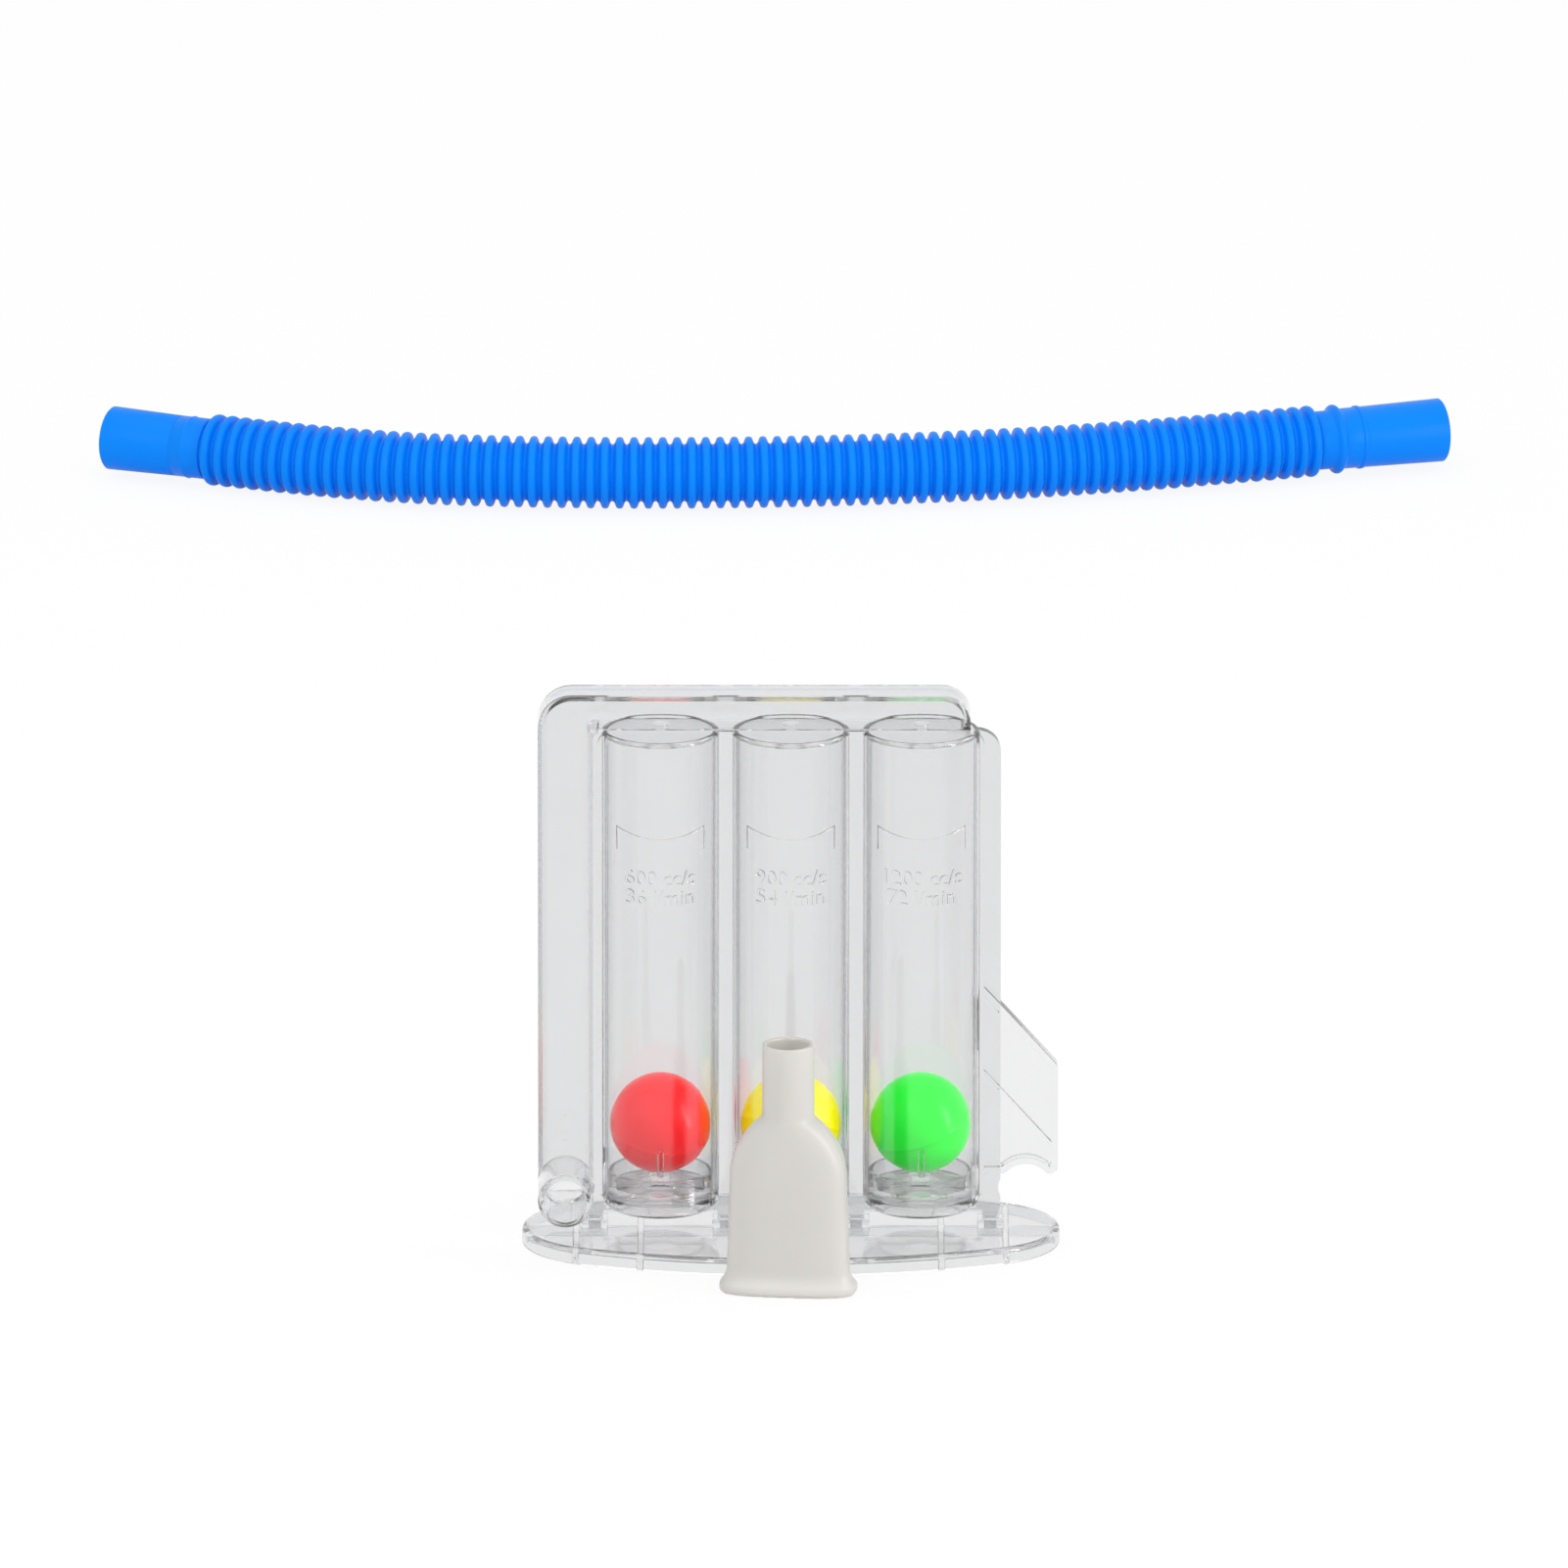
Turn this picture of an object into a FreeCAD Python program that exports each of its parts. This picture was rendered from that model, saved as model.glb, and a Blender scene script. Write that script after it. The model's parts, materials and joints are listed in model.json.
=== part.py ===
import FreeCAD, Part
import math
import os

# A three-ball incentive spirometer, laid out as it comes out of its bag: the clear body on its
# oval stand, the loose mouthpiece in front of it and the corrugated hose on the table behind it.
# Millimetres. +Z is up, the balls are read from -Y, and the origin is on the table under the
# middle tube. The body is two clear mouldings joined in the plane y = 0.

Vector = FreeCAD.Vector

# Balls and tubes
ball_diameter = 26.3
ball_wall = 1.0
ball_clearance = 0.65
ball_rest_gap = 0.3
tube_count = 3
tube_pitch = 34.0
tube_height = 129.5
tube_top_edge_radius = 1.2
tube_bottom_edge_radius = 3.5
inlet_radius = 5.0
orifice_radii = (2.4, 2.2, 2.0)
orifice_offset_y = 5.8

# Body shells
wall = 1.5
panel_margin = 1.1
panel_thickness = 2.7
flange_width = 4.3
duct_flange_width = 3.4
panel_corner_radius = 6.2
body_bottom_z = 8.3
tube_bottom_z = 9.6
duct_gap = 2.35
duct_depth = 12.5
duct_corner_radius = 8.9
duct_edge_radius = 3.0
duct_inner_corner_radius = 2.0
duct_foot_radius = 5.0
manifold_height = 9.0
manifold_overhang = 12.8
manifold_end_radius = 7.3

# Guide ribs inside the front wall, one in each tube and one over the hose port
rib_width = 1.3
rib_depth = 0.4
rib_length = 6.9
rib_above_seat = 1.7
port_rib_above_axis = 11.0

# Hose port
port_outer_radius = 7.15
port_wall = 1.5
port_length = 18.5
port_axis_z = 16.5
port_chamfer = 0.8

# Hose holder, the wing on the right side of the body
holder_reach = 15.0
holder_top_z = 69.8
holder_slope = 48.0
holder_tip_z = 19.2
holder_tip_width = 4.2
holder_rim_width = 1.7
holder_rim_depth = 5.0
holder_rib_width = 1.1
holder_rib_depth = 1.6
holder_rib_drop = 22.6
holder_corner_radius = 3.0
notch_clearance = 0.4
notch_offset_x = 6.6
notch_axis_z = 14.6

# Tabs that plug the body into the stand
tab_width = 3.0
tab_shoulder_width = 4.4
tab_shoulder_z = 6.6
tab_reach_below_deck = 0.4
tab_clearance = 0.1
side_tab_inset = 2.6

# Stand
base_length = 140.4
base_depth = 65.4
base_end_radius = 24.0
base_height = 4.4
base_wall = 1.6
base_deck = 1.6
base_edge_radius = 1.4
base_rib_thickness = 1.4
base_rib_offsets = (0.0, 39.2, 56.0)
socket_wall = 1.8

# Ball seats, cups that stand on the floor of each tube
seat_height = 8.9
seat_wall = 1.3
seat_clearance = 0.1
seat_shelf_height = 3.8
seat_shelf_thickness = 1.2
seat_hole_radius = 6.0
seat_fin_count = 3
seat_fin_thickness = 1.2
seat_fin_inner_radius = 3.0
ball_sink = 0.75

# Mouthpiece
mouthpiece_x = -0.7
mouthpiece_y = -46.0
mouthpiece_turn = -6.0
mouthpiece_wall = 1.35
neck_radius = 6.8
neck_bottom_z = 47.5
neck_step = 0.1
mouthpiece_height = 67.1
lip_half_width = 17.95
lip_half_depth = 7.2
lip_height = 6.6
lip_end_rounding = 0.7
lip_band_height = 2.4
lip_inner_flare = 1.5
lip_power = 2.0
bite_half_width = 16.0
bite_half_depth = 5.9
bite_squareness = 3.2
shoulder_half_width = 15.2
shoulder_half_depth = 7.2
shoulder_z = 30.0
shoulder_power = 2.5
section_points = 24
easing_steps = 7

# Hose
hose_diameter = 19.9
hose_bore = 16.4
hose_axis_z = 10.0
cuff_outer_radius = 8.95
cuff_fit_clearance = 0.1
cuff_bore_length = 20.0
cuff_throat_radius = 6.0
port_cuff_length = 28.4
port_cuff_seam = 21.0
port_cuff_seam_depth = 0.25
port_cuff_seam_width = 0.6
port_cuff_step = 24.2
port_cuff_step_height = 0.25
mouth_cuff_length = 32.6
mouth_cuff_neck_radius = 9.25
mouth_cuff_neck_length = 2.4
mouth_cuff_bead_radius = 9.65
mouth_cuff_bead_length = 4.0
mouth_cuff_collar_radius = 9.15
mouth_cuff_collar_length = 4.2

# The hose's middle line on the table, from the port end to the mouth end
hose_route = [
    (-163.5, 732.2),
    (-121.5, 717.4),
    (-69.0, 710.6),
    (-11.0, 710.4),
    (46.0, 716.6),
    (100.0, 728.6),
    (149.8, 745.0),
]
arc_share = 0.45

# Sizes that follow from the ones above
ball_radius = ball_diameter / 2
tube_inner_radius = ball_radius + ball_clearance
tube_outer_radius = tube_inner_radius + wall
tube_top_z = tube_bottom_z + tube_height
tube_floor_z = tube_bottom_z + wall
tube_ceiling_z = tube_top_z - wall
tube_xs = [tube_pitch * (i - (tube_count - 1) / 2) for i in range(tube_count)]
tubes_half_width = tube_xs[-1] + tube_outer_radius
panel_half_width = tubes_half_width + panel_margin
panel_right_x = panel_half_width + flange_width
panel_left_x = -panel_half_width - duct_flange_width
duct_width = 2 * port_outer_radius
port_axis_x = -tubes_half_width - duct_gap - duct_width / 2
seat_rim_z = tube_floor_z + seat_height
ball_rest_z = seat_rim_z - ball_sink + ball_radius
seat_shelf_z = tube_floor_z + seat_shelf_height
deck_bottom_z = base_height - base_deck
tab_tip_z = deck_bottom_z - tab_reach_below_deck
web_xs = [(a + b) / 2 for a, b in zip(tube_xs, tube_xs[1:])]
tab_xs = [*web_xs, panel_left_x + side_tab_inset, panel_right_x - side_tab_inset]
holder_root_x = panel_half_width
holder_right_x = panel_right_x + holder_reach
notch_radius = neck_radius + notch_clearance
notch_x = panel_right_x + notch_offset_x
overlap = 1.0


def rounded_wire(corners, y):
    """A closed wire in the plane y, through corners (x, z, radius), each rounded by an arc."""
    count = len(corners)
    starts, middles, ends = [], [], []
    for i, (x, z, radius) in enumerate(corners):
        here = Vector(x, y, z)
        back = Vector(corners[i - 1][0], y, corners[i - 1][1]) - here
        ahead = Vector(corners[(i + 1) % count][0], y, corners[(i + 1) % count][1]) - here
        back.normalize()
        ahead.normalize()
        half = back.getAngle(ahead) / 2
        reach = radius / math.tan(half)
        bisector = back + ahead
        bisector.normalize()
        starts.append(here + back * reach)
        ends.append(here + ahead * reach)
        middles.append(here + bisector * (radius / math.sin(half) - radius))
    edges = []
    for i in range(count):
        if corners[i][2] > 0:
            edges.append(Part.Arc(starts[i], middles[i], ends[i]).toShape())
        gap = starts[(i + 1) % count] - ends[i]
        if gap.Length > 1e-6:
            edges.append(Part.LineSegment(ends[i], starts[(i + 1) % count]).toShape())
    return Part.Wire(edges)


def slab(corners, y_front, y_back):
    """A flat solid between two planes of y, with rounded corners."""
    face = Part.Face(rounded_wire(corners, y_front))
    return face.extrude(Vector(0, y_back - y_front, 0))


def block(x_low, x_high, y_low, y_high, z_low, z_high):
    size = (x_high - x_low, y_high - y_low, z_high - z_low)
    return Part.makeBox(*size, Vector(x_low, y_low, z_low))


def upright(radius, x, y, z_low, z_high):
    return Part.makeCylinder(radius, z_high - z_low, Vector(x, y, z_low))


def along_y(radius, x, z, y_low, y_high):
    return Part.makeCylinder(radius, y_high - y_low, Vector(x, y_low, z), Vector(0, 1, 0))


def joined(shapes):
    return shapes[0].multiFuse(shapes[1:]).removeSplitter()


def edges_at(shape, axis, place):
    """The edges of a shape that lie wholly at one height along an axis."""
    found = []
    for edge in shape.Edges:
        low = getattr(edge.BoundBox, axis + "Min")
        high = getattr(edge.BoundBox, axis + "Max")
        if abs(low - place) < 1e-4 and abs(high - place) < 1e-4:
            found.append(edge)
    return found


def save(shape, node):
    solids = shape.Solids
    assert solids and all(s.isValid() for s in solids), node
    out = solids[0] if len(solids) == 1 else Part.makeCompound(solids)
    out.exportStep("parts/" + node + ".step")
    print(node, len(solids), "solid", round(out.Volume, 1), "mm3")


def duct_outline(inset):
    """The inverted L of the air duct: up the left side and over the tubes, inset by a wall."""
    left = port_axis_x - duct_width / 2 + inset
    right = port_axis_x + duct_width / 2 - inset
    bottom = port_axis_z - duct_width / 2 + inset
    top = tube_top_z + manifold_height - inset
    end = tube_xs[-1] + manifold_overhang - inset
    floor = tube_ceiling_z + inset
    return [
        (left, bottom, duct_foot_radius - inset),
        (right, bottom, duct_inner_corner_radius),
        (right, floor, duct_inner_corner_radius),
        (end, floor, duct_inner_corner_radius - inset / 2),
        (end, top, manifold_end_radius - inset),
        (left, top, duct_corner_radius - inset),
    ]


def panel_outline():
    return [
        (panel_left_x, body_bottom_z, wall),
        (panel_right_x, body_bottom_z, wall),
        (panel_right_x, tube_top_z, panel_corner_radius),
        (panel_left_x, tube_top_z, panel_corner_radius),
    ]


def pad_outline():
    """The raised middle of the front panel, inside its welding flange."""
    low = tube_bottom_z + tube_bottom_edge_radius
    radius = panel_corner_radius - flange_width / 2
    return [
        (-panel_half_width, low, wall),
        (panel_half_width, low, wall),
        (panel_half_width, tube_top_z, radius),
        (-panel_half_width, tube_top_z, radius),
    ]


def tube_outside(x):
    shape = upright(tube_outer_radius, x, 0, tube_bottom_z, tube_top_z)
    shape = shape.makeFillet(tube_bottom_edge_radius, edges_at(shape, "Z", tube_bottom_z))
    return shape.makeFillet(tube_top_edge_radius, edges_at(shape, "Z", tube_top_z))


def tube_inside(x):
    shape = upright(tube_inner_radius, x, 0, tube_floor_z, tube_ceiling_z)
    return shape.makeChamfer(tube_bottom_edge_radius - wall, edges_at(shape, "Z", tube_floor_z))


def body_half(y_low, y_high):
    """What one moulding keeps: all between two planes of y."""
    far = base_length + manifold_overhang
    return block(-far, far, y_low, y_high, 0, tube_top_z + far)


def tabs(y_low, y_high):
    """The shoulders that stand on the stand's sockets, and the tabs that plug into them."""
    shapes = []
    top = body_bottom_z + overlap
    for x in tab_xs:
        half = tab_shoulder_width / 2
        shapes.append(block(x - half, x + half, y_low, y_high, tab_shoulder_z, top))
        half = tab_width / 2
        shapes.append(block(x - half, x + half, y_low, y_high, tab_tip_z, top))
    return shapes


def holder_outline(inset):
    """The wing that holds the hose: a slanted top, an upright edge and a tip over the notch."""
    right = holder_right_x - inset
    slope = math.tan(math.radians(holder_slope))
    root_top = holder_top_z - inset / math.cos(math.radians(holder_slope))
    edge_top = root_top - (right - holder_root_x) * slope
    tip = holder_tip_z + inset
    return [
        (holder_root_x, tip, 0),
        (right, tip, min(holder_tip_width / 2 - inset, holder_corner_radius)),
        (right, edge_top, holder_corner_radius - inset / 2),
        (holder_root_x, root_top, 0),
    ]


def holder_wing():
    """The wing: a thin web with a deeper rim round its edge and its notch, and a slanted rib.

    The web ends at the panel's edge, and the rim and the rib run on over the front flange.
    """
    rim_front = -wall / 2 - holder_rim_depth / 2
    rim_back = rim_front + holder_rim_depth
    web = slab(holder_outline(0), -wall, 0)
    rim = slab(holder_outline(0), rim_front, rim_back)
    rim = rim.cut(slab(holder_outline(holder_rim_width), rim_front - overlap, rim_back + overlap))
    ring = along_y(notch_radius + holder_rim_width, notch_x, notch_axis_z, rim_front, rim_back)
    ring = ring.common(slab(holder_outline(0), rim_front, rim_back))
    rise = (holder_right_x - holder_root_x) * math.tan(math.radians(holder_slope))
    rib_top = holder_top_z - holder_rib_drop
    rib = slab(
        [
            (holder_root_x, rib_top, 0),
            (holder_root_x, rib_top - holder_rib_width, 0),
            (holder_right_x, rib_top - holder_rib_width - rise, 0),
            (holder_right_x, rib_top - rise, 0),
        ],
        -wall - holder_rib_depth,
        0,
    )
    rib = rib.common(slab(holder_outline(holder_rim_width / 2), -wall - holder_rib_depth, 0))
    flange = slab(panel_outline(), -wall, rim_back + overlap)
    return joined([web, rim, ring, rib]).cut([notch(), flange])


def notch():
    """The round notch under the wing, which also scallops the edge of both panels."""
    return along_y(notch_radius, notch_x, notch_axis_z, -holder_rim_depth, holder_rim_depth)


def port_bore():
    """The air's way through the port and through the duct cover behind it."""
    radius = port_outer_radius - port_wall
    return along_y(radius, port_axis_x, port_axis_z, -wall - port_length - overlap, overlap)


def hose_port():
    """The pipe on the front of the duct cover that the hose's cuff pushes onto."""
    front = -wall - port_length
    pipe = along_y(port_outer_radius, port_axis_x, port_axis_z, front, -wall)
    pipe = pipe.makeChamfer(port_chamfer, edges_at(pipe, "Y", front))
    return pipe.cut(port_bore())


def guide_rib(x, y_wall, z_low):
    half = rib_width / 2
    return block(x - half, x + half, y_wall - wall / 2, y_wall + rib_depth, z_low, z_low + rib_length)


def bay(side):
    """The space of one tube and the panel round it, out to half way to the next tube."""
    far = base_length + manifold_overhang
    edges = [-far, *web_xs, far]
    return block(edges[side], edges[side + 1], -far, far, 0, tube_top_z + far)


def tube_cuts():
    """What both mouldings leave open: the balls' chambers and the inlets in their floors."""
    inlets = [upright(inlet_radius, x, 0, 0, tube_floor_z + overlap) for x in tube_xs]
    return [tube_inside(x) for x in tube_xs] + inlets


def front_moulding():
    """The moulding that faces the patient: a panel with three half tubes and the duct's cover."""
    tubes = [tube_outside(x).common(body_half(-tube_pitch, 0)) for x in tube_xs]
    cover = slab(duct_outline(0), -wall, 0)
    panel = slab(panel_outline(), -wall, 0)
    pad = slab(pad_outline(), -panel_thickness, 0)
    shell = joined([panel, cover, pad, *tubes, *tabs(-wall, 0)])
    shell = shell.cut([*tube_cuts(), port_bore(), notch()])
    rib_z = seat_rim_z + rib_above_seat
    ribs = [guide_rib(x, -tube_inner_radius, rib_z) for x in tube_xs]
    ribs.append(guide_rib(port_axis_x, 0, port_axis_z + port_rib_above_axis))
    return joined([shell, *ribs])


def air_trough():
    """The duct's outside: up the left side from the port and along over the tubes."""
    trough = slab(duct_outline(0), 0, duct_depth)
    return trough.makeFillet(duct_edge_radius, edges_at(trough, "Y", duct_depth))


def rear_moulding():
    """The moulding at the back: a panel with three half tubes and the duct over them."""
    tubes = [tube_outside(x).common(body_half(0, tube_pitch)) for x in tube_xs]
    hollow = slab(duct_outline(wall), -overlap, duct_depth - wall)
    hollow = hollow.makeFillet(duct_edge_radius - wall, edges_at(hollow, "Y", duct_depth - wall))
    panel = slab(panel_outline(), 0, wall)
    orifices = [
        upright(radius, x, orifice_offset_y, tube_ceiling_z - overlap, tube_top_z + overlap)
        for x, radius in zip(tube_xs, orifice_radii)
    ]
    shell = joined([panel, air_trough(), *tubes, *tabs(0, wall)])
    return shell.cut([*tube_cuts(), hollow, notch(), *orifices])


def oval_face(inset, z):
    """The stand's outline: two end arcs that run smoothly into two long side arcs."""
    end = base_end_radius - inset
    half_length = base_length / 2 - inset
    half_depth = base_depth / 2 - inset
    end_x = half_length - end
    side = (end_x**2 + half_depth**2 - end**2) / (2 * (half_depth - end))
    side_y = side - half_depth
    turn = math.atan2(side_y, end_x)
    touch_x = end_x + end * math.cos(turn)
    touch_y = end * math.sin(turn)
    right = Part.Arc(
        Vector(touch_x, -touch_y, z), Vector(half_length, 0, z), Vector(touch_x, touch_y, z)
    )
    back = Part.Arc(
        Vector(touch_x, touch_y, z), Vector(0, half_depth, z), Vector(-touch_x, touch_y, z)
    )
    left = Part.Arc(
        Vector(-touch_x, touch_y, z), Vector(-half_length, 0, z), Vector(-touch_x, -touch_y, z)
    )
    front = Part.Arc(
        Vector(-touch_x, -touch_y, z), Vector(0, -half_depth, z), Vector(touch_x, -touch_y, z)
    )
    return Part.Face(Part.Wire([a.toShape() for a in (right, back, left, front)]))


def base_stand():
    """The stand: a shallow oval tray, open below, with ribs under its deck and four sockets."""
    outside = oval_face(0, 0).extrude(Vector(0, 0, base_height))
    outside = outside.makeFillet(base_edge_radius, edges_at(outside, "Z", base_height))
    hollow = oval_face(base_wall, -overlap).extrude(Vector(0, 0, deck_bottom_z + overlap))
    shell = outside.cut(hollow)
    half = base_rib_thickness / 2
    ribs = [block(-base_length, base_length, -half, half, 0, deck_bottom_z + overlap / 2)]
    for offset in base_rib_offsets:
        for x in {offset, -offset}:
            ribs.append(
                block(x - half, x + half, -base_depth, base_depth, 0, deck_bottom_z + overlap / 2)
            )
    room = oval_face(base_wall / 2, 0).extrude(Vector(0, 0, base_height))
    ribs = [rib.common(room) for rib in ribs]
    sockets = []
    slots = []
    for x in tab_xs:
        half_x = tab_width / 2 + tab_clearance
        half_y = wall + tab_clearance
        slots.append(
            block(
                x - half_x,
                x + half_x,
                -half_y,
                half_y,
                tab_tip_z - tab_clearance,
                tab_shoulder_z + overlap,
            )
        )
        out_x = half_x + socket_wall
        out_y = half_y + socket_wall
        sockets.append(
            block(x - out_x, x + out_x, -out_y, out_y, deck_bottom_z, tab_shoulder_z)
        )
    return joined([shell, *ribs, *sockets]).cut(slots)


def ball_seat(x):
    """A cup that stands on the tube's floor and carries the ball on fins over a ringed hole."""
    outer = tube_inner_radius - seat_clearance
    inner = outer - seat_wall
    chamfer = tube_bottom_edge_radius - wall
    shelf_top = seat_shelf_z + seat_shelf_thickness
    profile = [
        (outer - chamfer - seat_wall, tube_floor_z),
        (outer - chamfer, tube_floor_z),
        (outer, tube_floor_z + chamfer),
        (outer, seat_rim_z),
        (inner, seat_rim_z),
        (inner, shelf_top),
        (seat_hole_radius, shelf_top),
        (seat_hole_radius, seat_shelf_z),
        (inner, seat_shelf_z),
        (inner, tube_floor_z + chamfer + seat_wall / 2),
    ]
    points = [Vector(r, 0, z) for r, z in profile]
    ring = Part.Face(Part.makePolygon([*points, points[0]]))
    ring = ring.revolve(Vector(0, 0, 0), Vector(0, 0, 1), 360)
    reach = ball_radius + ball_rest_gap
    fin_top = ball_rest_z - math.sqrt(reach**2 - seat_fin_inner_radius**2)
    fins = []
    for i in range(seat_fin_count):
        half = seat_fin_thickness / 2
        fin = block(
            seat_fin_inner_radius, inner + seat_wall / 2, -half, half, seat_shelf_z, fin_top
        )
        fin.rotate(Vector(0, 0, 0), Vector(0, 0, 1), 90 + 360 * i / seat_fin_count)
        fins.append(fin)
    seat = joined([ring, *fins])
    seat.translate(Vector(x, 0, 0))
    return seat


def ball(x):
    place = Vector(x, 0, ball_rest_z)
    return Part.makeSphere(ball_radius, place).cut(Part.makeSphere(ball_radius - ball_wall, place))


def oval_section(half_width, half_depth, squareness, z, inset):
    """A closed curve round the mouthpiece: an oval at squareness 2, and squarer above that."""
    a = half_width - inset
    b = half_depth - inset
    if a <= b:
        return Part.Wire(Part.Circle(Vector(0, 0, z), Vector(0, 0, 1), a).toShape())
    points = []
    for i in range(section_points):
        turn = 2 * math.pi * i / section_points
        x = a * abs(math.cos(turn)) ** (2 / squareness)
        y = b * abs(math.sin(turn)) ** (2 / squareness)
        points.append(Vector(math.copysign(x, math.cos(turn)), math.copysign(y, math.sin(turn)), z))
    curve = Part.BSplineCurve()
    curve.interpolate(Points=points, PeriodicFlag=True)
    return Part.Wire(curve.toShape())


def eased(start, end, power):
    """Forms that leave the start straight on and swing ever faster towards the end."""
    forms = []
    for i in range(easing_steps + 1):
        t = i / easing_steps
        sizes = [a + (b - a) * t**power for a, b in zip(start[:-1], end[:-1])]
        forms.append((*sizes, start[-1] + (end[-1] - start[-1]) * t))
    return forms


def mouthpiece_form(inset):
    """The mouthpiece's outside, or its hollow: a lip, a flat bite, a shoulder and a round neck.

    Each form is a half width, a half depth, a squareness and a height.
    """
    flat = bite_squareness
    bite = (bite_half_width, bite_half_depth, flat, lip_height)
    shoulder = (shoulder_half_width, shoulder_half_depth, flat, shoulder_z)
    dome_end = (neck_radius + neck_step, neck_radius + neck_step, 2, neck_bottom_z)
    if inset:
        mouth = (bite_half_width + lip_inner_flare, bite_half_depth + lip_inner_flare, flat, 0)
        lip = [mouth, bite]
    else:
        end = (lip_half_width - lip_end_rounding, lip_half_depth - lip_end_rounding, flat, 0)
        band_bottom = (lip_half_width, lip_half_depth, flat, lip_end_rounding)
        band_top = (lip_half_width, lip_half_depth, flat, lip_band_height)
        lip = [end, band_bottom, *reversed(eased(bite, band_top, lip_power))]
    forms = [*lip, *eased(shoulder, dome_end, shoulder_power)]
    body = Part.makeLoft([oval_section(*form, inset) for form in forms], True, True)
    neck = upright(neck_radius - inset, 0, 0, neck_bottom_z - overlap, mouthpiece_height)
    return body.fuse(neck)


def mouthpiece():
    """The push-on mouthpiece, which stands on its lip, turned a little on the table."""
    bore = neck_radius - mouthpiece_wall
    top = upright(bore, 0, 0, mouthpiece_height - overlap, mouthpiece_height + overlap)
    shape = mouthpiece_form(0).cut([mouthpiece_form(mouthpiece_wall), top])
    shape.rotate(Vector(0, 0, 0), Vector(0, 0, 1), mouthpiece_turn)
    shape.translate(Vector(mouthpiece_x, mouthpiece_y, 0))
    return shape


def hose_points():
    return [Vector(x, y, hose_axis_z) for x, y in hose_route]


def hose_path():
    """Straight runs joined by arcs that are as large as the runs allow."""
    points = hose_points()
    edges = []
    start = points[0]
    for before, here, after in zip(points, points[1:], points[2:]):
        back = before - here
        ahead = after - here
        reach = arc_share * min(back.Length, ahead.Length)
        back.normalize()
        ahead.normalize()
        half_turn = (math.pi - back.getAngle(ahead)) / 2
        radius = reach / math.tan(half_turn)
        print("hose radius", round(radius, 1), "mm at", tuple(here)[:2])
        into = here + back * reach
        out = here + ahead * reach
        bisector = back + ahead
        bisector.normalize()
        middle = here + bisector * (radius / math.cos(half_turn) - radius)
        edges.append(Part.LineSegment(start, into).toShape())
        edges.append(Part.Arc(into, middle, out).toShape())
        start = out
    edges.append(Part.LineSegment(start, points[-1]).toShape())
    return Part.Wire(edges)


def hose_tube():
    """The corrugated stretch of the hose, as a plain tube of its outer diameter."""
    path = hose_path()
    points = hose_points()
    heading = points[1] - points[0]
    tubes = []
    for radius in (hose_diameter / 2, hose_bore / 2):
        ring = Part.Wire(Part.Circle(points[0], heading, radius).toShape())
        tubes.append(path.makePipeShell([ring], True, True))
    tube = tubes[0].cut(tubes[1])
    section = math.pi * (hose_diameter**2 - hose_bore**2) / 4
    print("hose length", round(path.Length, 1), "mm, volume over section times length",
          round(tube.Volume / (section * path.Length), 4))
    return tube


def turned(profile, place, heading):
    """A ring turned from (distance, radius) points, laid from a place along a heading."""
    points = [Vector(s, 0, r) for s, r in profile]
    shape = Part.Face(Part.makePolygon([*points, points[0]]))
    shape = shape.revolve(Vector(0, 0, 0), Vector(1, 0, 0), 360)
    turn = math.degrees(math.atan2(heading.y, heading.x))
    shape.rotate(Vector(0, 0, 0), Vector(0, 0, 1), turn)
    shape.translate(place)
    return shape


def hose_cuff_port_end():
    """The smooth end that pushes onto the port; its profile runs from the corrugations out."""
    points = hose_points()
    length = port_cuff_length
    r = cuff_outer_radius
    bore = port_outer_radius + cuff_fit_clearance
    step = length - port_cuff_step
    seam = length - port_cuff_seam
    profile = [
        (0, cuff_throat_radius),
        (0, r + port_cuff_step_height),
        (step, r + port_cuff_step_height),
        (step, r),
        (seam - port_cuff_seam_width, r),
        (seam - port_cuff_seam_width / 2, r - port_cuff_seam_depth),
        (seam, r),
        (length, r),
        (length, bore),
        (length - cuff_bore_length, bore),
        (length - cuff_bore_length, cuff_throat_radius),
    ]
    return turned(profile, points[0], points[0] - points[1])


def hose_cuff_mouth_end():
    """The end that takes the mouthpiece, with its short neck, bead and collar."""
    points = hose_points()
    length = mouth_cuff_length
    bore = neck_radius + cuff_fit_clearance
    bead_start = mouth_cuff_neck_length
    bead_end = bead_start + mouth_cuff_bead_length
    bead_round = mouth_cuff_bead_radius - mouth_cuff_neck_radius
    collar_end = bead_end + mouth_cuff_collar_length
    profile = [
        (0, cuff_throat_radius),
        (0, mouth_cuff_neck_radius),
        (bead_start, mouth_cuff_neck_radius),
        (bead_start + bead_round, mouth_cuff_bead_radius),
        (bead_end - bead_round, mouth_cuff_bead_radius),
        (bead_end, mouth_cuff_collar_radius),
        (collar_end, mouth_cuff_collar_radius),
        (collar_end, cuff_outer_radius),
        (length, cuff_outer_radius),
        (length, bore),
        (length - cuff_bore_length, bore),
        (length - cuff_bore_length, cuff_throat_radius),
    ]
    return turned(profile, points[-1], points[-1] - points[-2])


os.makedirs("parts", exist_ok=True)

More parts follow.
